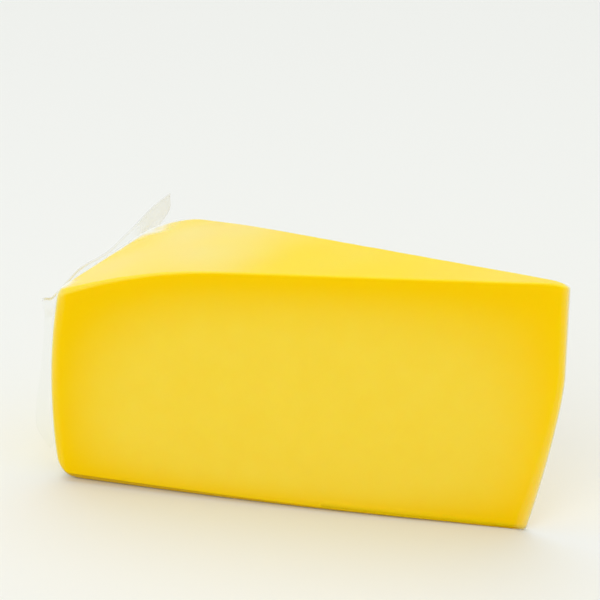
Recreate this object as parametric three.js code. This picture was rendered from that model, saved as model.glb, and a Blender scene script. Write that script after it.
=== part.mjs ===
// A wedge of semi-hard cheese, vacuum packed in clear shrink film.
// Millimetres, +Z up. The wedge stands on its flat base with its front cut face along -Y, its thin
// end at +X and its rind at -X, where the surplus film is folded up. The origin is at the bottom
// centre of the whole.
import * as THREE from 'three';
import { mergeVertices } from 'three/addons/utils/BufferGeometryUtils.js';

// The wheel of cheese that the wedge was cut from
const wheelRadius = 200.9;
const wedgeAngle = THREE.MathUtils.degToRad(23.6);
const crownHeight = 97.2; // top surface at the wheel's centre
const crownSlope = 0.055; // fall of the top for each millimetre towards the rind
const shoulderRadius = 131; // past this radius the top also curves down
const shoulderCurve = 0.0029; // extra fall, in millimetres for each square millimetre
const shoulderLeftAtBack = 0.23; // share of the extra fall that is left at the back corner
const shoulderFade = 2.3; // how late on the way to the back corner the fall fades
const rindWidestHeight = 30;
const rindCurve = 0.0022; // pull-in of the rind, in millimetres for each square millimetre

// Rounded edges
const cutEdgeRadius = 1; // where the knife left an edge
const rindEdgeFront = 1; // where the rind turns into the top, at the front corner
const rindEdgeRadius = 5; // the same from rindEdgeFull on, as a share of the way to the back corner
const rindEdgeFull = 0.7;
const rindStarts = 0.75; // share of the way to the rind where a cut edge starts to turn into a rind edge

// The foot: the cut faces end a little above the table, and the base falls away to it under them
const footRise = { tip: 0.8, rind: 4.2 };
const footReach = { tip: 0.9, rind: 4.2 };
const footSquareness = 0.85; // 1 for a cut face that goes straight down to its sharp lower edge
const rindFootRise = 8; // rounding of the foot below the rind
const rindFootReach = 7;

// Upright edges
const frontCornerRadius = 6; // upright corner between the rind and the front cut face
const backCornerRadius = 18; // upright corner between the rind and the back cut face
const tipRadius = 1.6; // thin end at the top
const tipLeastRadius = 0.3;
const tipSlopeHeight = 61.2; // below this height the thin end leans back
const tipLean = 0.044; // how far it leans, times the depth below that height to the power tipLeanPower
const tipLeanPower = 1.35;
const tipDroop = 1.4; // sink of the top right at the thin end
const tipDroopReach = 5;
const sag = 2.2; // how far both cut faces swell outwards at the base, halfway along
const tuck = 2.8; // how far they draw in at the base of the thin end
const tuckPower = 3.2; // how soon that fades

// The flap of surplus film, folded up along the rind
const filmGap = 0.3; // clear space between the rind and the flap
const flapThickness = 0.6; // two layers of film and what air is between them
const flapFoot = 11; // height of the flap's lowest point
const flapFrontShort = 4; // how far its front edge stays short of the front corner at both ends
const flapFrontWide = 3.5; // how far it stands past that corner, where it is widest
const flapFrontWidest = 0.23; // share of the height where that is
const flapFrontFade = 0.55; // share of the height over which it draws in again above that
const flapFrontCurl = 0.15; // outward curl of that side, for each square millimetre past the corner
const flapBackNarrow = 3; // how far it stands past the back corner
const flapEarWide = 13; // the same at its ear, the end of the seal at the bag's mouth
const flapEarShares = [0.84, 0.93]; // shares of the height where the ear begins and has its full width
const flapEarCurl = 0.012;
const flapFrontTop = 72; // height of its free edge at the front
const flapTopSlope = 0.05; // rise of the free edge towards the back
const flapEarRise = 11.5; // further rise towards the ear, from flapRiseStart on
const flapRiseStart = 0.52;
const flapWave = 0.6; // depth of its soft upright waves
const flapWaves = 4;

// How finely the surfaces are divided
const wedgeSegments = { length: 36, width: 14, height: 18 };
const roundedShare = 0.22; // share of the height's divisions that each rounded edge gets
const cornerShare = 0.14; // share of a side's divisions that each upright corner gets
const flapSegments = { length: 32, height: 14 };

const { clamp, lerp, smoothstep } = THREE.MathUtils;
const quarterTurn = Math.PI / 2;
const halfAngle = wedgeAngle / 2;
const sheetRadius = wheelRadius + filmGap + flapThickness / 2;

// Height of the top surface over a point in plan, measured from the wheel's centre
function topHeight(x, y) {
  const radius = Math.hypot(x, y);
  const turn = clamp(Math.atan2(y, -x) / wedgeAngle, 0, 1);
  const fade = 1 - (1 - shoulderLeftAtBack) * turn ** shoulderFade;
  const shoulder = shoulderCurve * fade * Math.max(0, radius - shoulderRadius) ** 2;
  const droop = tipDroop * Math.exp(-((radius / tipDroopReach - 1) ** 2));
  return crownHeight - crownSlope * radius - shoulder - droop;
}

// Rounding radius of the thin end at a height
function tipRadiusAt(z) {
  const lean = tipLean * Math.max(0, tipSlopeHeight - z) ** tipLeanPower;
  return tipRadius + lean / (1 / Math.sin(halfAngle) - 1);
}

// A curve in plan made of pieces, each with its share of the parameter from 0 to 1
function joined(pieces, shares) {
  return (t) => {
    let start = 0;
    let index = 0;
    while (index < pieces.length - 1 && t > start + shares[index]) {
      start += shares[index];
      index += 1;
    }
    return pieces[index].getPoint(clamp((t - start) / shares[index], 0, 1));
  };
}

// Turns a point about the wheel's centre so that the back cut face becomes the front one, and back
function mirrored(point) {
  const turn = Math.PI - wedgeAngle - Math.atan2(point.y, point.x) + Math.PI;
  return new THREE.Vector2(Math.cos(turn), Math.sin(turn)).multiplyScalar(point.length());
}

// Half of the wedge's outline on the front side: its cut face with half an upright corner, and the
// other half of that corner
function frontHalf(z, cornerRadius, cutInset, rindInset) {
  const rind = wheelRadius - rindCurve * (z - rindWidestHeight) ** 2 - rindInset;
  const corner = Math.max(cornerRadius - (cutInset + rindInset) / 2, cutEdgeRadius);
  const centreY = cutInset + corner;
  const centreX = -Math.sqrt((rind - corner) ** 2 - centreY ** 2);
  const rindTurn = Math.atan2(centreY, centreX);
  const middleTurn = (rindTurn + Math.PI * 1.5) / 2;
  const tip = Math.max(tipRadiusAt(z) - cutInset, tipLeastRadius);
  const tipStart = -cutInset / Math.tan(halfAngle) - tip / Math.tan(halfAngle);
  const face = new THREE.LineCurve(
    new THREE.Vector2(tipStart, cutInset),
    new THREE.Vector2(centreX, cutInset),
  );
  const nearFace = new THREE.Path().absarc(centreX, centreY, corner, Math.PI * 1.5, middleTurn, true);
  const nearRind = new THREE.Path().absarc(centreX, centreY, corner, middleTurn, rindTurn, true);
  return { rind, rindTurn, tip, face, nearFace, nearRind };
}

// A point of the wedge in plan: u runs from the thin end to the rind, v from front to back
function planPoint(u, v, z, cutInset, rindInset) {
  const front = frontHalf(z, frontCornerRadius, cutInset, rindInset);
  const back = frontHalf(z, backCornerRadius, cutInset, rindInset);
  const sideShares = [1 - cornerShare, cornerShare];
  const frontSide = joined([front.face, front.nearFace], sideShares);
  const backMirrored = joined([back.face, back.nearFace], sideShares);
  const backSide = (t) => mirrored(backMirrored(t));
  const arcEnd = Math.PI - wedgeAngle + (Math.PI - back.rindTurn);
  const arc = new THREE.Path().absarc(0, 0, front.rind, front.rindTurn, arcEnd, true);
  const backCorner = { getPoint: (t) => mirrored(back.nearRind.getPoint(1 - t)) };
  const rindSide = joined([front.nearRind, arc, backCorner], [cornerShare, 1 - 2 * cornerShare, cornerShare]);
  const tipCentre = (front.tip + cutInset) / Math.sin(halfAngle);
  const tipMiddle = new THREE.Vector2(-Math.cos(halfAngle), Math.sin(halfAngle)).multiplyScalar(tipCentre);
  const tipStart = -quarterTurn;
  const tipEnd = quarterTurn - wedgeAngle;
  const tipArc = (t) => {
    const turn = lerp(tipStart, tipEnd, t);
    return new THREE.Vector2(Math.cos(turn), Math.sin(turn)).multiplyScalar(front.tip).add(tipMiddle);
  };
  const alongU = frontSide(u).multiplyScalar(1 - v).add(backSide(u).multiplyScalar(v));
  const alongV = tipArc(v).multiplyScalar(1 - u).add(rindSide(v).multiplyScalar(u));
  const tipCorners = frontSide(0).multiplyScalar(1 - v).add(backSide(0).multiplyScalar(v));
  const rindCorners = frontSide(1).multiplyScalar(1 - v).add(backSide(1).multiplyScalar(v));
  const corners = tipCorners.multiplyScalar(1 - u).add(rindCorners.multiplyScalar(u));
  return alongU.add(alongV).sub(corners);
}

// A point on the wedge's surface: u and v as above, w runs from the base to the top
function wedgePoint(u, v, w) {
  const rindness = smoothstep(u, rindStarts, 1);
  const cornerness = smoothstep(u, 1 - cornerShare, 1);
  const bottom = clamp(w / roundedShare, 0, 1);
  const bottomTurn = quarterTurn * bottom;
  const topTurn = quarterTurn * clamp((w - 1 + roundedShare) / roundedShare, 0, 1);
  const topInset = 1 - Math.cos(topTurn);
  const rindEdge = lerp(rindEdgeFront, rindEdgeRadius, smoothstep(v, 0, rindEdgeFull));
  const cutInset = lerp(footReach.tip, footReach.rind, u) * (1 - bottom) ** 2 + cutEdgeRadius * topInset;
  const rindInset = rindFootReach * (1 - Math.sin(bottomTurn)) + rindEdge * topInset;
  const guess = planPoint(u, v, w * crownHeight, cutInset, rindInset);
  const top = topHeight(guess.x, guess.y);
  const cutRise = bottom * lerp(2 * footSquareness, 1, bottom);
  const cutFoot = lerp(footRise.tip, footRise.rind, u) * cutRise;
  const foot = lerp(cutFoot, rindFootRise * (1 - Math.cos(bottomTurn)), cornerness);
  const drop = lerp(cutEdgeRadius, rindEdge, rindness) * (1 - Math.sin(topTurn));
  const rise = clamp((w - roundedShare) / (1 - 2 * roundedShare), 0, 1);
  const z = lerp(foot, top - drop, rise);
  const plan = planPoint(u, v, z, cutInset, rindInset);
  const atBase = sag * Math.sin(u * Math.PI) - tuck * (1 - u) ** tuckPower;
  const swell = atBase * (1 - z / crownHeight) ** 2;
  const frontSwell = new THREE.Vector2(0, -swell).multiplyScalar(1 - v);
  const backSwell = new THREE.Vector2(Math.sin(wedgeAngle), Math.cos(wedgeAngle)).multiplyScalar(swell * v);
  plan.add(frontSwell).add(backSwell);
  return new THREE.Vector3(plan.x, plan.y, z);
}

// A point of the film flap: u runs from front to back, w from the foot to the free edge, and side
// from the face at the rind to the outer face
function flapPoint(u, w, side) {
  const arcLength = sheetRadius * wedgeAngle;
  const span = w < flapFrontWidest ? flapFrontWidest : flapFrontFade;
  const bulge = Math.max(0, 1 - ((w - flapFrontWidest) / span) ** 2);
  const frontWide = lerp(-flapFrontShort, flapFrontWide, bulge);
  const backWide = lerp(flapBackNarrow, flapEarWide, smoothstep(w, ...flapEarShares));
  const along = lerp(-frontWide, arcLength + backWide, u);
  const onArc = clamp(along, 0, arcLength);
  const past = along - onArc;
  const turn = Math.PI - onArc / sheetRadius;
  const outward = new THREE.Vector2(Math.cos(turn), Math.sin(turn));
  const tangent = new THREE.Vector2(outward.y, -outward.x);
  const wave = flapWave * Math.sin(u * flapWaves * Math.PI) ** 2 * w;
  const curl = (past < 0 ? flapFrontCurl : flapEarCurl) * past ** 2;
  const plan = outward.clone().multiplyScalar(sheetRadius + wave + curl + side * flapThickness);
  plan.addScaledVector(tangent, past);
  const top = flapFrontTop + flapTopSlope * along + flapEarRise * smoothstep(u, flapRiseStart, 1);
  return new THREE.Vector3(plan.x, plan.y, lerp(flapFoot, top, w));
}

// A divided box whose corners are merged and whose every vertex is moved by the function
function shaped(segments, place) {
  const { length, width = 1, height } = segments;
  let box = new THREE.BoxGeometry(1, 1, 1, length, width, height);
  box.deleteAttribute('normal');
  box.deleteAttribute('uv');
  box = mergeVertices(box);
  const position = box.getAttribute('position');
  for (let i = 0; i < position.count; i += 1) {
    const point = place(position.getX(i), position.getY(i), position.getZ(i));
    position.setXYZ(i, point.x, point.y, point.z);
  }
  box.computeVertexNormals();
  return box;
}

const cheeseMaterial = new THREE.MeshStandardMaterial({ color: 0xf4d13e, roughness: 0.45, metalness: 0 });
const filmMaterial = new THREE.MeshStandardMaterial({
  color: 0xe9ece6,
  roughness: 0.12,
  metalness: 0,
  transparent: true,
  opacity: 0.35,
});

const cheese = new THREE.Mesh(
  shaped(wedgeSegments, (x, y, z) => wedgePoint(0.5 - x, y + 0.5, z + 0.5)),
  cheeseMaterial,
);
cheese.name = 'cheese_wedge';

const flap = new THREE.Mesh(
  shaped(flapSegments, (x, y, z) => flapPoint(x + 0.5, z + 0.5, y)),
  filmMaterial,
);
flap.name = 'film_flap';

const pack = new THREE.Group();
pack.add(cheese, flap);

// Moves the origin from the wheel's centre to the bottom centre of the whole
const extent = new THREE.Box3().setFromObject(pack);
const centre = extent.getCenter(new THREE.Vector3());
pack.position.set(-centre.x, -centre.y, -extent.min.z);

export default pack;
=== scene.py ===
"""A wedge of semi-hard cheese, vacuum packed in clear shrink film, on a pale studio floor.

Metres, +Z up. Lengths below are in millimetres until a mesh is placed. The outline is worked out from
the wheel that the wedge was cut from: its centre at (0, 0), the front cut face along -X from there.
"""
import math

import bmesh
import bpy
import numpy as np
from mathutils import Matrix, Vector, noise


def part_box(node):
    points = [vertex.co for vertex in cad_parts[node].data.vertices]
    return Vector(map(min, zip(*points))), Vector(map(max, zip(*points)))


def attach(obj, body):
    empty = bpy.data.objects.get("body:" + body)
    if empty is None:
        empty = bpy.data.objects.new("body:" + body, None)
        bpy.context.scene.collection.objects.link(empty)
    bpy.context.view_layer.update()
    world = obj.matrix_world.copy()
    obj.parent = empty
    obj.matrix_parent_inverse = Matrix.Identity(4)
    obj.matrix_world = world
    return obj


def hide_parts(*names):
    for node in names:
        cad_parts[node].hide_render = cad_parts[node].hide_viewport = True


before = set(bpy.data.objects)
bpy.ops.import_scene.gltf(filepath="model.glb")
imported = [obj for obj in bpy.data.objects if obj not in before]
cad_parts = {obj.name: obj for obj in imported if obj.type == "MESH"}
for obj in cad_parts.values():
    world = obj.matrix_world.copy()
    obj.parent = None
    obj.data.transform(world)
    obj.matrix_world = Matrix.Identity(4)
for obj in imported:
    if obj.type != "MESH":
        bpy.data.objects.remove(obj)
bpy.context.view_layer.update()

MM = 0.001

# The camera that took the photograph, from the wheel's centre
CAMERA_AZIMUTH = math.radians(14.74)
CAMERA_ELEVATION = math.radians(20.15)
CAMERA_DISTANCE = 670
CAMERA_TARGET = (-101.6, 0, 82.2)
FOCAL_PIXELS = 1880
PHOTO_SIDE = 600
SENSOR_WIDTH = 36

# The wheel of cheese that the wedge was cut from
WHEEL_RADIUS = 200.9
WEDGE_ANGLE = math.radians(23.6)
CROWN_HEIGHT = 97.2
CROWN_SLOPE = 0.055
SHOULDER_RADIUS = 131
SHOULDER_CURVE = 0.0029
SHOULDER_LEFT_AT_BACK = 0.23
SHOULDER_FADE = 2.3
RIND_WIDEST_HEIGHT = 30
RIND_CURVE = 0.0022

# Rounded edges
CUT_EDGE_RADIUS = 1
RIND_EDGE_FRONT = 1
RIND_EDGE_RADIUS = 5
RIND_EDGE_FULL = 0.7
RIND_STARTS = 0.75
FRONT_CORNER_RADIUS = 6
BACK_CORNER_RADIUS = 18
TIP_RADIUS = 1.6
TIP_LEAST_RADIUS = 0.3
TIP_SLOPE_HEIGHT = 61.2
TIP_LEAN = 0.044
TIP_LEAN_POWER = 1.35
TIP_DROOP = 1.4
TIP_DROOP_REACH = 5
ROUNDED_SHARE = 0.22
CORNER_SHARE = 0.14

# The foot: the cut faces end a little above the table, and the base falls away to it under them
TIP_FOOT_RISE = 0.8
TIP_FOOT_REACH = 0.9
BACK_FOOT_RISE = 4.2
BACK_FOOT_REACH = 4.2
FOOT_SQUARENESS = 0.85
RIND_FOOT_RISE = 8
RIND_FOOT_REACH = 7
SAG = 2.2
TUCK = 2.8
TUCK_POWER = 3.2

# How finely each piece is divided: along, across and up the wedge, and along, through and up the tail
BLOCK_PARTS = (120, 40, 64)
FILM_PARTS = (150, 60, 80)
TAIL_PARTS = (150, 1, 110)
PLACING_STEPS = 60

# Marks left by the knife on the cut faces and by the cloth on the rind, and how wide their border is
KNIFE_MARK_DEPTH = 0.06
KNIFE_MARK_SIZE = (60, 60, 11)
RIND_MARK_DEPTH = 0.12
RIND_MARK_SIZE = 9
RIND_BORDER = 0.8

# How fast the cheese turns paler below each side, and where it counts as an edge and as its heart: painted
# light, standing in for light scattered through the cheese
EDGE_DEPTHS = {"front": 14, "back": 13, "base": 12, "top": 27, "rind": 26}
EDGE_TO_HEART = (0.08, 0.62)
RIM_DEPTH = 3

# The painted shade at the foot, where a cut face turns under: the shares of its turn, and its strength from
# the thin end to the rind
FOOT_ENDS_AT_TIP = (0.25, 0.5)
FOOT_ENDS_AT_RIND = (0.75, 0.97)
FOOT_DARKENS = (0.2, 0.7)
FOOT_LEAST_DARK = 0.5
BASE_ENDS = 0.05
FOOT_STRENGTH_AT_TIP = 0.45
FOOT_FULL_AT = 0.7
FOOT_FADES = (0.9, 1)
FOOT_LOST_AT_CORNER = 0.5

# The film that lies on the cheese, stretched over the back of the rind's upper edge like a tent
FILM_GAP = 0.25
LOOSE_FILM_STARTS = 0.88
TENT_HEIGHT = 0.6
TENT_UP = 0.9
TENT_UP_WIDTH = 0.08
TENT_ACROSS = (0.3, 0.85)
PLEAT_SIZE = (5, 5, 60)
PLEAT_DEPTH = 0.4
PLEATS_START = (0.1, 0.3)

# How milky the film is: 0 is clear, and 1 hides what is behind it
TENT_HAZE = 0.12
RIM_BAND_HAZE = 0.05
RIM_BAND_ALONG = (0.95, 1)
RIM_BAND_UP = (0.85, 1)
RIM_BAND_ACROSS = (0.1, 0.4)
# On the top and the rind: the film's faint milkiness, and painted sheen on the wheel's shoulder and in
# clouds, standing in for light reflected off the film
SKIN_HAZE = 0.012
SHOULDER_HAZE_AND_SHEEN = 0.052
SHOULDER_SHEEN_GROWS = (105, 150)
SHOULDER_SHEEN_FADES = (165, 195)
SHOULDER_SHEEN_LOST = 0.6
TIP_HAZE = 0.022
TIP_HAZE_ENDS = (20, 70)
SHEEN_CLOUD_SIZE = 24
SHEEN_CLOUD_STRENGTH = 0.5
GATHERED_HAZE_LOW = 0.62
GATHERED_HAZE_HIGH = 0.42
GATHERED_AT_CUT = 0.3
GATHERED_END = 0.26
GATHERED_POWER = 1.6
STREAK_SIZE = (3.2, 3.2, 45)
STREAK_STRENGTH = 0.9
# Down the thin end: the film's milkiness, with painted reflection of the white surroundings
THIN_END_SIDE_HAZE_AND_REFLECTION = 0.05
THIN_END_HAZE_AND_REFLECTION = 0.4
THIN_END_REACH = 0.005
THIN_END_LEFT_LOW = 0.6
WELD_HAZE = 0.03
EAR_HAZE = 0.25
EAR_HAZE_ALONG = (-14, -2)
EAR_HAZE_UP = (0.78, 0.88)
# Along the tail's free edge: the film's milky edge, with a painted highlight
FREE_EDGE_HAZE_AND_HIGHLIGHT = 0.45
FREE_EDGE_UP = (0.98, 0.995)
FREE_EDGE_FADES = (0.25, 0.5)
FREE_EDGE_LEFT = 0.4

# The tail of the bag, folded up along the rind: two layers, with an ear past its back edge
TAIL_GAP = 0.6
TAIL_FOOT = 11
TAIL_FRONT_SHORT = 4
TAIL_FRONT_WIDE = 3.5
TAIL_FRONT_WIDEST = 0.23
TAIL_FRONT_FADE = 0.55
TAIL_FRONT_CURL = 0.15
TAIL_BACK_NARROW = 3
TAIL_EAR_WIDE = 13
TAIL_EAR_WIDENS = (0.84, 0.93)
TAIL_EAR_CURL = 0.012
TAIL_FRONT_TOP = 72
TAIL_TOP_SLOPE = 0.05
TAIL_EAR_RISE = 11.5
TAIL_RISE_START = 0.52
TAIL_DIP = 3
TAIL_DIP_FRONT = (3, 13)
TAIL_DIP_BACK = (14, 34)
TAIL_WAVE = 0.6
TAIL_WAVES = 4
TAIL_PLEATS = 19
TAIL_PLEAT_REACH = 0.2
TAIL_PLEAT_STRAY = 3
TAIL_PLEAT_STRAY_TURN = 17
CRUMPLE_DEPTH = 0.25
CRUMPLE_SIZE = 13
LAYER_GAP = 0.5
WELD_GAP = 0.1
WELD_BELOW_EDGE = 6
WELD_WIDTH = 4
WELD_SQUARENESS = 4

# Colours, as red, green and blue
# The deeper edge colours and paler heart colours are painted light, standing in for light scattered through
# the cheese
PAINTED_LIGHT_EDGE_COLOURS = ((0.985, 0.61, 0), (0.975, 0.625, 0.001))
PAINTED_LIGHT_HEART_COLOURS = ((0.975, 0.685, 0.045), (0.99, 0.72, 0.063))
RIND_COLOURS = ((0.99, 0.69, 0.006), (0.98, 0.75, 0.04))
LIT_RIM_COLOUR = (1, 0.68, 0)
# Painted shade where the cut faces turn under at the foot
PAINTED_FOOT_SHADE_COLOUR = (0.66, 0.39, 0)
CLEAR_FILM_COLOUR = (0.99, 0.993, 0.987)
MILKY_FILM_COLOUR = (0.86, 0.875, 0.825)
FLOOR_COLOUR = (0.848, 0.862, 0.84)
WALL_COLOUR = (1, 1, 0.985)

# How many finer layers a finish's noise has, where nothing else is said
SOFT_DETAIL = 2

# The finish of the cheese, with lengths in metres
CURD_SIZE = 0.007
CURD_DETAIL = 3
RIND_CLOUD_SIZE = 0.022
GRAIN_SIZE = 0.0009
GRAIN_DEPTH = 0.00002
CHEESE_ROUGHNESS = (0.42, 0.62)
CHEESE_SPECULAR = 0.02
LIGHT_INSIDE = 0.3
LIGHT_REACH = 0.006
LIGHT_REACH_BY_COLOUR = (1.0, 0.6, 0.08)

# The finish of the film, with lengths in metres
CRINKLE_SIZE = 0.011
CRINKLE_DEPTH = 0.00006
FILM_ROUGHNESS = (0.07, 0.2)
FILM_SHINE = 0.001
FILM_RIM_SHINE = 0.4
FILM_RIM_POWER = 8
FILM_LEAST_HEAD_ON = 0.25

# The studio, in metres: light comes from above and behind, from a wide lamp in front, and off white walls
FLOOR_REACH = 8
FLOOR_DROP = 0.0001
SUN_FROM = (-0.1, 0.33, 1)
SUN_STRENGTH = 0.65
SUN_WIDTH = math.radians(50)
LAMP_PLACE = (-0.3, -2.2, 1.6)
LAMP_WIDTH = 1.8
LAMP_POWER = 14.3
SIDE_WALL_LIGHT = 1.6
CAMERA_SIDE_LIGHT = 0.5
OVERHEAD_LIGHT = 0.75
CAMERA_SIDE_TO_WALLS = (-0.8, -0.2)
WALLS_TO_OVERHEAD = (0, 0.35)

# Which of a Mix node's sockets are its two colours and their mix
MIX_FIRST_COLOUR = 6
MIX_SECOND_COLOUR = 7
MIX_COLOUR = 2

HALF_ANGLE = WEDGE_ANGLE / 2
QUARTER_TURN = math.pi / 2
RIND_LENGTH = WHEEL_RADIUS * WEDGE_ANGLE


def smooth(value, start, end):
    """0 before start, 1 after end, and a smooth rise between them."""
    share = np.clip((value - start) / (end - start), 0, 1)
    return share * share * (3 - 2 * share)


def mix(start, end, share):
    return start + (end - start) * share


# The wedge's outline in plan. A point in plan is a complex number.


def top_height(plan):
    """Height of the wheel's top surface over a point in plan."""
    radius = np.abs(plan)
    turn = np.clip(np.arctan2(plan.imag, -plan.real) / WEDGE_ANGLE, 0, 1)
    fade = 1 - (1 - SHOULDER_LEFT_AT_BACK) * turn**SHOULDER_FADE
    shoulder = SHOULDER_CURVE * fade * np.maximum(0, radius - SHOULDER_RADIUS) ** 2
    droop = TIP_DROOP * np.exp(-((radius / TIP_DROOP_REACH - 1) ** 2))
    return CROWN_HEIGHT - CROWN_SLOPE * radius - shoulder - droop


def tip_radius_at(height):
    """Rounding radius of the thin end, which leans back towards its foot."""
    lean = TIP_LEAN * np.maximum(0, TIP_SLOPE_HEIGHT - height) ** TIP_LEAN_POWER
    return TIP_RADIUS + lean / (1 / math.sin(HALF_ANGLE) - 1)


def rind_radius_at(height):
    return WHEEL_RADIUS - RIND_CURVE * (height - RIND_WIDEST_HEIGHT) ** 2


def mirrored(plan):
    """The same point on the other side of the wedge's middle line."""
    return np.conj(plan) * np.exp(-1j * WEDGE_ANGLE)


def around(centre, radius, turn):
    return centre + radius * np.exp(1j * turn)


class SideOutline:
    """Half of the wedge's outline at a height: one cut face, and the upright corner at the rind."""

    def __init__(self, height, corner_radius, cut_inset, rind_inset):
        self.rind = rind_radius_at(height) - rind_inset
        self.corner = np.maximum(corner_radius - (cut_inset + rind_inset) / 2, CUT_EDGE_RADIUS)
        centre_y = cut_inset + self.corner
        centre_x = -np.sqrt((self.rind - self.corner) ** 2 - centre_y**2)
        self.centre = centre_x + 1j * centre_y
        self.rind_turn = np.arctan2(centre_y, centre_x)
        self.middle_turn = (self.rind_turn + 3 * QUARTER_TURN) / 2
        self.tip = np.maximum(tip_radius_at(height) - cut_inset, TIP_LEAST_RADIUS)
        self.face_start = -(cut_inset + self.tip) / math.tan(HALF_ANGLE) + 1j * cut_inset
        self.face_end = centre_x + 1j * cut_inset

    def face(self, share):
        """From the thin end along the cut face, and half way round the corner."""
        line = mix(self.face_start, self.face_end, np.minimum(share / (1 - CORNER_SHARE), 1))
        turned = np.clip((share - 1 + CORNER_SHARE) / CORNER_SHARE, 0, 1)
        arc = around(self.centre, self.corner, mix(3 * QUARTER_TURN, self.middle_turn, turned))
        return np.where(share < 1 - CORNER_SHARE, line, arc)

    def corner_arc(self, share):
        """The half of the corner that leads on to the rind."""
        return around(self.centre, self.corner, mix(self.middle_turn, self.rind_turn, np.clip(share, 0, 1)))


def plan_point(u, v, height, cut_inset, rind_inset):
    """A point in plan inside the outline: u from the thin end to the rind, v from front to back."""
    front = SideOutline(height, FRONT_CORNER_RADIUS, cut_inset, rind_inset)
    back = SideOutline(height, BACK_CORNER_RADIUS, cut_inset, rind_inset)
    one, none = np.ones_like(u), np.zeros_like(u)

    middle = around(0, (front.tip + cut_inset) / math.sin(HALF_ANGLE), math.pi - HALF_ANGLE)
    tip_side = around(middle, front.tip, mix(-QUARTER_TURN, QUARTER_TURN - WEDGE_ANGLE, v))

    arc_share = (v - CORNER_SHARE) / (1 - 2 * CORNER_SHARE)
    arc_end = 2 * math.pi - WEDGE_ANGLE - back.rind_turn
    arc = around(0, front.rind, mix(front.rind_turn, arc_end, arc_share))
    rind_side = np.where(v < CORNER_SHARE, front.corner_arc(v / CORNER_SHARE), arc)
    back_corner = mirrored(back.corner_arc((1 - v) / CORNER_SHARE))
    rind_side = np.where(v > 1 - CORNER_SHARE, back_corner, rind_side)

    across = mix(front.face(u), mirrored(back.face(u)), v)
    along = mix(tip_side, rind_side, u)
    tip_corners = mix(front.face(none), mirrored(back.face(none)), v)
    rind_corners = mix(front.face(one), mirrored(back.face(one)), v)
    return across + along - mix(tip_corners, rind_corners, u)


def wedge_surface(u, v, w):
    """Points on the wedge, in millimetres from the wheel's centre. w runs from the base to the top."""
    rindness = smooth(u, RIND_STARTS, 1)
    cornerness = smooth(u, 1 - CORNER_SHARE, 1)
    bottom = np.clip(w / ROUNDED_SHARE, 0, 1)
    bottom_turn = QUARTER_TURN * bottom
    top_turn = QUARTER_TURN * np.clip((w - 1 + ROUNDED_SHARE) / ROUNDED_SHARE, 0, 1)
    top_inset = 1 - np.cos(top_turn)
    rind_edge = mix(RIND_EDGE_FRONT, RIND_EDGE_RADIUS, smooth(v, 0, RIND_EDGE_FULL))
    cut_inset = mix(TIP_FOOT_REACH, BACK_FOOT_REACH, u) * (1 - bottom) ** 2 + CUT_EDGE_RADIUS * top_inset
    rind_inset = RIND_FOOT_REACH * (1 - np.sin(bottom_turn)) + rind_edge * top_inset
    top = top_height(plan_point(u, v, w * CROWN_HEIGHT, cut_inset, rind_inset))
    cut_rise = bottom * mix(2 * FOOT_SQUARENESS, 1, bottom)
    cut_foot = mix(TIP_FOOT_RISE, BACK_FOOT_RISE, u) * cut_rise
    foot = mix(cut_foot, RIND_FOOT_RISE * (1 - np.cos(bottom_turn)), cornerness)
    drop = mix(CUT_EDGE_RADIUS, rind_edge, rindness) * (1 - np.sin(top_turn))
    rise = np.clip((w - ROUNDED_SHARE) / (1 - 2 * ROUNDED_SHARE), 0, 1)
    height = mix(foot, top - drop, rise)
    plan = plan_point(u, v, height, cut_inset, rind_inset)
    at_base = SAG * np.sin(u * math.pi) - TUCK * (1 - u) ** TUCK_POWER
    swell = at_base * (1 - height / CROWN_HEIGHT) ** 2
    back_normal = around(0, 1, QUARTER_TURN - WEDGE_ANGLE)
    plan = plan + swell * mix(-1j, back_normal, v)
    return np.stack([plan.real, plan.imag, height], axis=1)


def wheel_centre():
    """Where the wheel's centre is in the part's own frame."""
    steps = np.linspace(0, 1, PLACING_STEPS)
    u, v, w = (grid.ravel() for grid in np.meshgrid(steps, steps, steps))
    points = wedge_surface(u, v, w)
    low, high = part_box("cheese_wedge")
    return np.array((low + high) / 2) / MM - (points.min(0) + points.max(0)) / 2


CENTRE = wheel_centre()


def placed(points):
    """Millimetres from the wheel's centre, as metres in the part's frame."""
    return (points + CENTRE) * MM


# Meshes


def divided_cube(parts):
    """A cube with sides of 1, divided into that many parts along X, Y and Z."""
    bm = bmesh.new()
    bmesh.ops.create_cube(bm, size=1)
    for axis, count in enumerate(parts):
        along_axis = [edge for edge in bm.edges if edge.verts[0].co[axis] * edge.verts[1].co[axis] < 0]
        if count > 1:
            bmesh.ops.subdivide_edges(bm, edges=along_axis, cuts=count - 1, use_grid_fill=True)
    return bm


def corners_of(bm):
    """The cube's vertices as three rows of shares from 0 to 1."""
    return np.array([vert.co for vert in bm.verts]).T + 0.5


def move_to(bm, points):
    for vert, point in zip(bm.verts, points):
        vert.co = point


def normals_at(bm, points):
    move_to(bm, points)
    bm.normal_update()
    return np.array([vert.normal for vert in bm.verts])


def piece_from(name, bm, points, marks, material):
    """A smooth piece from the bmesh, with its vertices at the points and an attribute for each mark."""
    move_to(bm, placed(points))
    mesh = bpy.data.meshes.new(name)
    bm.to_mesh(mesh)
    bm.free()
    mesh.shade_smooth()
    for mark, values in marks.items():
        mesh.attributes.new(mark, "FLOAT", "POINT").data.foreach_set("value", values)
    mesh.materials.append(material)
    piece = bpy.data.objects.new(name, mesh)
    bpy.context.scene.collection.objects.link(piece)
    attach(piece, "root")
    return piece


def uneven(points, size):
    """Smooth noise between -1 and 1 with features of that size, or of one size for each axis."""
    return np.array([noise.noise(Vector(point)) for point in points / size])


# The block of cheese


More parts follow.
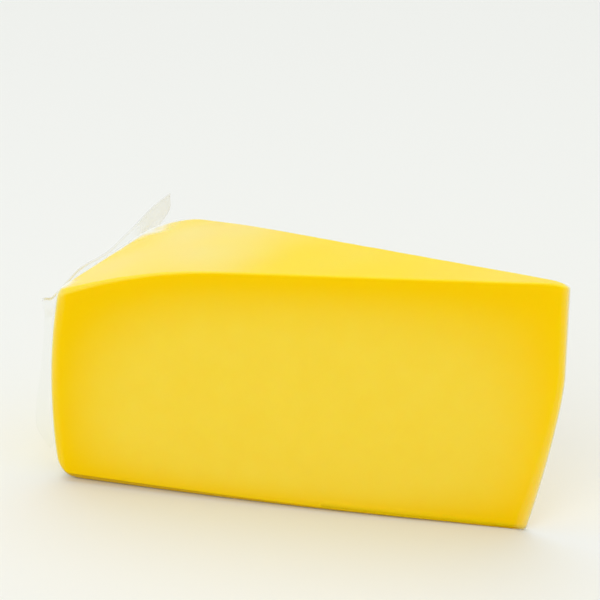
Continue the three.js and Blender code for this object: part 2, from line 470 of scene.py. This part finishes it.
def depths_inside(points):
    """How deep each point lies below each side of the wedge."""
    plan = points[:, 0] + 1j * points[:, 1]
    height = points[:, 2]
    return {
        "front": plan.imag,
        "back": mirrored(plan).imag,
        "base": height,
        "top": top_height(plan) - height,
        "rind": rind_radius_at(height) - np.abs(plan),
    }


def painted_light_heart_share(depths):
    """0 at the edges of a face and near 1 in its middle, where the cheese behind it is thick: a mask of
    painted light, for the paler heart that scattered light gives.
    """
    nearest = np.min(list(depths.values()), axis=0)
    share = 1
    for side, depth in depths.items():
        thickness = 1 - np.exp(-np.maximum(depth, 0) / EDGE_DEPTHS[side])
        share = share * np.where(depth > nearest, thickness, 1)
    return smooth(share, *EDGE_TO_HEART)


def rim_share(depths):
    """Near 1 close to the upright edges, where light shines through the cheese."""
    thickness = np.minimum(depths["rind"], np.maximum(depths["front"], depths["back"]))
    return np.exp(-np.maximum(thickness, 0) / RIM_DEPTH)


def rind_share(depths):
    """1 on the wheel's own skin, which is the top and the rind, and 0 on the two cut faces."""
    cut_depth = np.minimum(depths["front"], depths["back"])
    skin_depth = np.minimum(depths["top"], depths["rind"])
    return smooth(cut_depth - skin_depth, -RIND_BORDER, RIND_BORDER)


def painted_foot_shade_share(u, w):
    """Painted shade: up to 1 where a cut face turns under to the base, and 0 above that and on the base."""
    turned = w / ROUNDED_SHARE
    start, end = (mix(at_tip, at_rind, u) for at_tip, at_rind in zip(FOOT_ENDS_AT_TIP, FOOT_ENDS_AT_RIND))
    below_edge = 1 - smooth(turned, start, end)
    above_base = smooth(turned, 0, BASE_ENDS) * mix(FOOT_LEAST_DARK, 1, smooth(turned, *FOOT_DARKENS))
    growing = mix(FOOT_STRENGTH_AT_TIP, 1, smooth(u, 0, FOOT_FULL_AT))
    return (growing - FOOT_LOST_AT_CORNER * smooth(u, *FOOT_FADES)) * below_edge * above_base


def cheese_block(material):
    bm = divided_cube(BLOCK_PARTS)
    x, v, w = corners_of(bm)
    points = wedge_surface(1 - x, v, w)
    normals = normals_at(bm, points)
    depths = depths_inside(points)
    rind = rind_share(depths)
    marks = {
        "heart": painted_light_heart_share(depths),
        "rim": rim_share(depths),
        "rind": rind,
        # Painted shade on the foot, where a cut face turns under to the base
        "foot": painted_foot_shade_share(1 - x, w) * (1 - rind),
    }
    knife_marks = KNIFE_MARK_DEPTH * uneven(points, KNIFE_MARK_SIZE)
    cloth_marks = RIND_MARK_DEPTH * uneven(points, RIND_MARK_SIZE)
    relief = mix(knife_marks, cloth_marks, rind)
    points = points - normals * (FILM_GAP - np.minimum(relief, FILM_GAP / 2))[:, None]
    points[:, 2] = np.maximum(points[:, 2], FILM_GAP / 2)
    piece = piece_from("cheese_block", bm, points, marks, material)
    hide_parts("cheese_wedge")


# The film


def skin_haze_and_sheen(points):
    """The thin veil on the top and the rind, strongest on the wheel's shoulder and near the thin end. On
    the shoulder and in its clouds it is painted sheen, standing in for light reflected off the film.
    """
    radius = np.hypot(points[:, 0], points[:, 1])
    fading = 1 - SHOULDER_SHEEN_LOST * smooth(radius, *SHOULDER_SHEEN_FADES)
    on_shoulder = SHOULDER_HAZE_AND_SHEEN * smooth(radius, *SHOULDER_SHEEN_GROWS) * fading
    near_tip = TIP_HAZE * (1 - smooth(radius, *TIP_HAZE_ENDS))
    clouds = 1 + SHEEN_CLOUD_STRENGTH * uneven(points, SHEEN_CLOUD_SIZE)
    return rind_share(depths_inside(points)) * (SKIN_HAZE + on_shoulder + near_tip) * clouds


def gathered_haze(points, u, v):
    """Milky streaks where the film is gathered at the two upright corners of the rind."""
    from_side = np.minimum(v, 1 - v)
    round_corner = np.clip((u - 1 + CORNER_SHARE) / CORNER_SHARE, 0, 1)
    on_rind = np.clip(from_side / CORNER_SHARE, 0, 1)
    past_corner = smooth(from_side, CORNER_SHARE, GATHERED_END)
    corner = round_corner * mix(GATHERED_AT_CUT, 1, on_rind) * (1 - past_corner)
    streaks = 1 + STREAK_STRENGTH * uneven(points, STREAK_SIZE)
    strength = mix(GATHERED_HAZE_LOW, GATHERED_HAZE_HIGH, points[:, 2] / CROWN_HEIGHT)
    return strength * np.maximum(corner, 0) ** GATHERED_POWER * streaks


def thin_end_haze_and_reflection(points, u, v):
    """The pale line down the thin end, where the film is pulled round it: partly the film's milkiness and
    partly painted reflection of the white surroundings.
    """
    round_tip = mix(THIN_END_SIDE_HAZE_AND_REFLECTION, THIN_END_HAZE_AND_REFLECTION, smooth(np.minimum(v, 1 - v), 0, 0.5))
    strength = mix(THIN_END_LEFT_LOW, 1, points[:, 2] / CROWN_HEIGHT)
    return round_tip * (1 - smooth(u, 0, THIN_END_REACH)) * strength


def tight_film(material):
    bm = divided_cube(FILM_PARTS)
    x, v, w = corners_of(bm)
    u = 1 - x
    points = wedge_surface(u, v, w)
    normals = normals_at(bm, points)
    loose = smooth(u, LOOSE_FILM_STARTS, 1)
    tent = loose * np.exp(-(((w - TENT_UP) / TENT_UP_WIDTH) ** 2)) * smooth(v, *TENT_ACROSS)
    pleats = loose * smooth(w, *PLEATS_START) * uneven(points, PLEAT_SIZE) * PLEAT_DEPTH
    lift = np.maximum(TENT_HEIGHT * tent + pleats, 0)
    points = points + normals * lift[:, None]
    rim_band = smooth(u, *RIM_BAND_ALONG) * smooth(w, *RIM_BAND_UP) * smooth(v, *RIM_BAND_ACROSS)
    on_block = skin_haze_and_sheen(points) + gathered_haze(points, u, v) + thin_end_haze_and_reflection(points, u, v)
    # The haze mark carries the film's milkiness and the painted sheen and reflection on the block
    marks = {"haze_and_sheen": TENT_HAZE * tent + RIM_BAND_HAZE * rim_band + on_block}
    piece = piece_from("tight_film", bm, points, marks, material)
    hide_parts("cheese_wedge")


def tail_reach(along, up):
    """How far along the rind a point of the tail is, past both of the rind's ends in places."""
    span = np.where(up < TAIL_FRONT_WIDEST, TAIL_FRONT_WIDEST, TAIL_FRONT_FADE)
    bulge = np.maximum(0, 1 - ((up - TAIL_FRONT_WIDEST) / span) ** 2)
    front_wide = mix(-TAIL_FRONT_SHORT, TAIL_FRONT_WIDE, bulge)
    back_wide = mix(TAIL_BACK_NARROW, TAIL_EAR_WIDE, smooth(up, *TAIL_EAR_WIDENS))
    return mix(-front_wide, RIND_LENGTH + back_wide, along)


def tail_top(along, reach):
    """Height of the tail's free edge, which dips near the front corner and rises to the ear."""
    ear_rise = TAIL_EAR_RISE * smooth(along, TAIL_RISE_START, 1)
    dip = TAIL_DIP * smooth(reach, *TAIL_DIP_FRONT) * (1 - smooth(reach, *TAIL_DIP_BACK))
    return TAIL_FRONT_TOP + TAIL_TOP_SLOPE * reach + ear_rise - dip


def bag_tail(material):
    """The surplus end of the bag: two layers of film, welded together just below the free edge."""
    bm = divided_cube(TAIL_PARTS)
    along, side, up = corners_of(bm)
    reach = tail_reach(along, up)
    on_rind = np.clip(reach, 0, RIND_LENGTH)
    past = reach - on_rind
    top = tail_top(along, reach)
    height = mix(TAIL_FOOT, top, up)

    weld = np.exp(-(((top - height - WELD_BELOW_EDGE) / (WELD_WIDTH / 2)) ** WELD_SQUARENESS))
    wave = TAIL_WAVE * np.sin(along * TAIL_WAVES * math.pi) ** 2 * up
    stray = TAIL_PLEAT_STRAY * np.sin(along * TAIL_PLEAT_STRAY_TURN)
    pleats = np.sin(along * TAIL_PLEATS * math.pi + stray) ** 2
    gathered = PLEAT_DEPTH * pleats * np.exp(-up / TAIL_PLEAT_REACH)
    curl = np.where(past < 0, TAIL_FRONT_CURL, TAIL_EAR_CURL) * past**2
    flat = np.stack([reach, height, side], axis=1)
    crumple = CRUMPLE_DEPTH * (1 + uneven(flat, CRUMPLE_SIZE)) * (1 - weld)
    layer = (side - 0.5) * mix(LAYER_GAP, WELD_GAP, weld)
    stand_off = TAIL_GAP + wave + gathered + curl + crumple + layer

    outward = around(0, 1, math.pi - on_rind / WHEEL_RADIUS)
    plan = outward * (WHEEL_RADIUS + stand_off) + outward * -1j * past
    points = np.stack([plan.real, plan.imag, height], axis=1)
    ear = smooth(reach - RIND_LENGTH, *EAR_HAZE_ALONG) * smooth(up, *EAR_HAZE_UP)
    # The pale line on the free edge is partly a painted highlight
    free_edge = smooth(up, *FREE_EDGE_UP) * mix(1, FREE_EDGE_LEFT, smooth(along, *FREE_EDGE_FADES))
    marks = {"haze_and_sheen": WELD_HAZE * weld + EAR_HAZE * ear + FREE_EDGE_HAZE_AND_HIGHLIGHT * free_edge}
    piece = piece_from("bag_tail", bm, points, marks, material)
    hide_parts("film_flap")


# Materials


def new_material(name):
    material = bpy.data.materials.new(name)
    material.use_nodes = True
    nodes, links = material.node_tree.nodes, material.node_tree.links
    nodes.clear()
    return material, nodes, links, nodes.new("ShaderNodeOutputMaterial")


def give(links, socket, value):
    """Feeds a socket from another node's output, or sets it to a number or a colour."""
    if isinstance(value, bpy.types.NodeSocket):
        links.new(value, socket)
    elif isinstance(value, tuple):
        socket.default_value = (*value, 1)
    else:
        socket.default_value = value


def calculated(nodes, links, operation, *values):
    node = nodes.new("ShaderNodeMath")
    node.operation = operation
    for socket, value in zip(node.inputs, values):
        give(links, socket, value)
    return node.outputs[0]


def mapped(nodes, links, value, source, target, curve="LINEAR"):
    """The value carried from the source's two bounds over to the target's two bounds."""
    node = nodes.new("ShaderNodeMapRange")
    node.interpolation_type = curve
    links.new(value, node.inputs["Value"])
    for name, bound in zip(("From Min", "From Max", "To Min", "To Max"), (*source, *target)):
        give(links, node.inputs[name], bound)
    return node.outputs["Result"]


def mixed_colour(nodes, links, share, first, second):
    node = nodes.new("ShaderNodeMix")
    node.data_type = "RGBA"
    links.new(share, node.inputs["Factor"])
    give(links, node.inputs[MIX_FIRST_COLOUR], first)
    give(links, node.inputs[MIX_SECOND_COLOUR], second)
    return node.outputs[MIX_COLOUR]


def mixed_shader(nodes, links, share, first, second):
    node = nodes.new("ShaderNodeMixShader")
    for socket, output in zip(node.inputs, (share, first, second)):
        links.new(output, socket)
    return node.outputs[0]


def mark_value(nodes, mark):
    node = nodes.new("ShaderNodeAttribute")
    node.attribute_name = mark
    return node.outputs["Fac"]


def soft_unevenness_group():
    """Noise between 0 and 1 with features of a size in metres, and the same noise between two bounds."""
    group = bpy.data.node_groups.new("soft_unevenness", "ShaderNodeTree")
    group.interface.new_socket("Place", in_out="INPUT", socket_type="NodeSocketVector")
    for name in ("Size", "Detail", "Low", "High"):
        group.interface.new_socket(name, in_out="INPUT", socket_type="NodeSocketFloat")
    for name in ("Noise", "Between"):
        group.interface.new_socket(name, in_out="OUTPUT", socket_type="NodeSocketFloat")
    nodes, links = group.nodes, group.links
    given = nodes.new("NodeGroupInput").outputs
    result = nodes.new("NodeGroupOutput").inputs
    texture = nodes.new("ShaderNodeTexNoise")
    links.new(given["Place"], texture.inputs["Vector"])
    links.new(given["Detail"], texture.inputs["Detail"])
    links.new(calculated(nodes, links, "DIVIDE", 1, given["Size"]), texture.inputs["Scale"])
    between = mapped(nodes, links, texture.outputs["Fac"], (0, 1), (given["Low"], given["High"]))
    links.new(texture.outputs["Fac"], result["Noise"])
    links.new(between, result["Between"])
    return group


SOFT_UNEVENNESS = soft_unevenness_group()


def soft_unevenness(nodes, links, size, detail=SOFT_DETAIL, bounds=(0, 1)):
    """The group's outputs in a material, with the noise fixed to the piece."""
    node = nodes.new("ShaderNodeGroup")
    node.node_tree = SOFT_UNEVENNESS
    place = nodes.new("ShaderNodeTexCoord").outputs["Object"]
    for name, value in zip(("Place", "Size", "Detail", "Low", "High"), (place, size, detail, *bounds)):
        give(links, node.inputs[name], value)
    return node.outputs


def bumped(nodes, links, height, depth, shaders):
    bump = nodes.new("ShaderNodeBump")
    bump.inputs["Distance"].default_value = depth
    links.new(height, bump.inputs["Height"])
    for shader in shaders:
        links.new(bump.outputs["Normal"], shader.inputs["Normal"])


def cheese_finish():
    """Smooth waxy cheese: deeper in colour at its edges, paler at heart and on the wheel's own skin. The
    deeper edges and paler heart are painted light scattered through the cheese, and the foot has painted
    shade.
    """
    material, nodes, links, output = new_material("cheese")
    curd = soft_unevenness(nodes, links, CURD_SIZE, CURD_DETAIL)["Noise"]
    # Painted light: the deeper edges and paler heart stand in for light scattered through the cheese
    edge = mixed_colour(nodes, links, curd, *PAINTED_LIGHT_EDGE_COLOURS)
    heart = mixed_colour(nodes, links, curd, *PAINTED_LIGHT_HEART_COLOURS)
    paste = mixed_colour(nodes, links, mark_value(nodes, "heart"), edge, heart)
    paste = mixed_colour(nodes, links, mark_value(nodes, "rim"), paste, LIT_RIM_COLOUR)
    clouds = soft_unevenness(nodes, links, RIND_CLOUD_SIZE, bounds=CHEESE_ROUGHNESS)
    rind = mixed_colour(nodes, links, clouds["Noise"], *RIND_COLOURS)
    sides = mixed_colour(nodes, links, mark_value(nodes, "rind"), paste, rind)
    # Painted shade at the foot
    colour = mixed_colour(nodes, links, mark_value(nodes, "foot"), sides, PAINTED_FOOT_SHADE_COLOUR)

    shader = nodes.new("ShaderNodeBsdfPrincipled")
    links.new(colour, shader.inputs["Base Color"])
    links.new(clouds["Between"], shader.inputs["Roughness"])
    shader.inputs["Specular IOR Level"].default_value = CHEESE_SPECULAR
    shader.inputs["Subsurface Weight"].default_value = LIGHT_INSIDE
    shader.inputs["Subsurface Radius"].default_value = LIGHT_REACH_BY_COLOUR
    shader.inputs["Subsurface Scale"].default_value = LIGHT_REACH
    bumped(nodes, links, soft_unevenness(nodes, links, GRAIN_SIZE)["Noise"], GRAIN_DEPTH, [shader])
    links.new(shader.outputs[0], output.inputs["Surface"])
    return material


def film_finish():
    """Clear film, milky by its mark for haze and painted sheen, and more so at a slant, glossy at its rim,
    clear from within.
    """
    material, nodes, links, output = new_material("clear_film")
    clear = nodes.new("ShaderNodeBsdfTransparent")
    clear.inputs["Color"].default_value = (*CLEAR_FILM_COLOUR, 1)
    milky = nodes.new("ShaderNodeBsdfDiffuse")
    milky.inputs["Color"].default_value = (*MILKY_FILM_COLOUR, 1)
    slant = nodes.new("ShaderNodeLayerWeight").outputs["Facing"]
    head_on = calculated(nodes, links, "SUBTRACT", 1, slant)
    head_on = calculated(nodes, links, "MAXIMUM", head_on, FILM_LEAST_HEAD_ON)
    way_through = calculated(nodes, links, "DIVIDE", 1, head_on)
    let_through = calculated(nodes, links, "SUBTRACT", 1, mark_value(nodes, "haze_and_sheen"))
    let_through = calculated(nodes, links, "POWER", let_through, way_through)
    body = mixed_shader(nodes, links, let_through, milky.outputs[0], clear.outputs[0])

    gloss = nodes.new("ShaderNodeBsdfGlossy")
    crinkle = soft_unevenness(nodes, links, CRINKLE_SIZE, bounds=FILM_ROUGHNESS)
    links.new(crinkle["Between"], gloss.inputs["Roughness"])
    bumped(nodes, links, crinkle["Noise"], CRINKLE_DEPTH, [gloss, milky])
    at_rim = calculated(nodes, links, "POWER", slant, FILM_RIM_POWER)
    shine = calculated(nodes, links, "MULTIPLY_ADD", at_rim, FILM_RIM_SHINE, FILM_SHINE)
    surface = mixed_shader(nodes, links, shine, body, gloss.outputs[0])
    from_within = nodes.new("ShaderNodeNewGeometry").outputs["Backfacing"]
    film = mixed_shader(nodes, links, from_within, surface, clear.outputs[0])
    links.new(film, output.inputs["Surface"])
    return material


def floor_finish():
    material, nodes, links, output = new_material("pale_floor")
    shader = nodes.new("ShaderNodeBsdfDiffuse")
    shader.inputs["Color"].default_value = (*FLOOR_COLOUR, 1)
    links.new(shader.outputs[0], output.inputs["Surface"])
    return material


# The studio


def studio_floor():
    bm = bmesh.new()
    bmesh.ops.create_grid(bm, x_segments=1, y_segments=1, size=FLOOR_REACH)
    mesh = bpy.data.meshes.new("floor")
    bm.to_mesh(mesh)
    bm.free()
    mesh.materials.append(floor_finish())
    floor = bpy.data.objects.new("floor", mesh)
    floor.location.z = -FLOOR_DROP
    bpy.context.scene.collection.objects.link(floor)


def lamp_from(towards, data):
    """A lamp that shines from that direction on to the block."""
    lamp = bpy.data.objects.new(data.name, data)
    lamp.rotation_euler = Vector(towards).to_track_quat("Z", "Y").to_euler()
    bpy.context.scene.collection.objects.link(lamp)
    return lamp


def soft_sun():
    """Even light from a wide part of the sky, above and a little behind."""
    data = bpy.data.lights.new("key", "SUN")
    data.energy = SUN_STRENGTH
    data.angle = SUN_WIDTH
    lamp_from(SUN_FROM, data)


def front_lamp():
    data = bpy.data.lights.new("front", "AREA")
    data.shape = "DISK"
    data.size = LAMP_WIDTH
    data.energy = LAMP_POWER
    lamp_from(LAMP_PLACE, data).location = LAMP_PLACE


def soft_surroundings():
    """White walls that are brightest near the floor, with the darker camera side in front."""
    world = bpy.data.worlds.new("studio")
    bpy.context.scene.world = world
    world.use_nodes = True
    nodes, links = world.node_tree.nodes, world.node_tree.links
    background = nodes["Background"]
    background.inputs["Color"].default_value = (*WALL_COLOUR, 1)
    direction = nodes.new("ShaderNodeSeparateXYZ")
    links.new(nodes.new("ShaderNodeTexCoord").outputs["Generated"], direction.inputs[0])
    forward, upward = direction.outputs["Y"], direction.outputs["Z"]
    wall_lights = (CAMERA_SIDE_LIGHT, SIDE_WALL_LIGHT)
    walls = mapped(nodes, links, forward, CAMERA_SIDE_TO_WALLS, wall_lights, "SMOOTHSTEP")
    strength = mapped(nodes, links, upward, WALLS_TO_OVERHEAD, (walls, OVERHEAD_LIGHT), "SMOOTHSTEP")
    links.new(strength, background.inputs["Strength"])


def photo_camera():
    data = bpy.data.cameras.new("camera")
    data.sensor_width = SENSOR_WIDTH
    data.lens = FOCAL_PIXELS * SENSOR_WIDTH / PHOTO_SIDE
    camera = bpy.data.objects.new("camera", data)
    back = Vector((
        math.sin(CAMERA_AZIMUTH) * math.cos(CAMERA_ELEVATION),
        -math.cos(CAMERA_AZIMUTH) * math.cos(CAMERA_ELEVATION),
        math.sin(CAMERA_ELEVATION),
    ))
    target = Vector(placed(np.array(CAMERA_TARGET)))
    camera.location = target + back * CAMERA_DISTANCE * MM
    camera.rotation_euler = (-back).to_track_quat("-Z", "Y").to_euler()
    bpy.context.scene.collection.objects.link(camera)
    bpy.context.scene.camera = camera


bpy.context.scene.view_settings.view_transform = "Standard"
photo_camera()
studio_floor()
soft_surroundings()
soft_sun()
front_lamp()

cheese_block(cheese_finish())
clear_film = film_finish()
tight_film(clear_film)
bag_tail(clear_film)
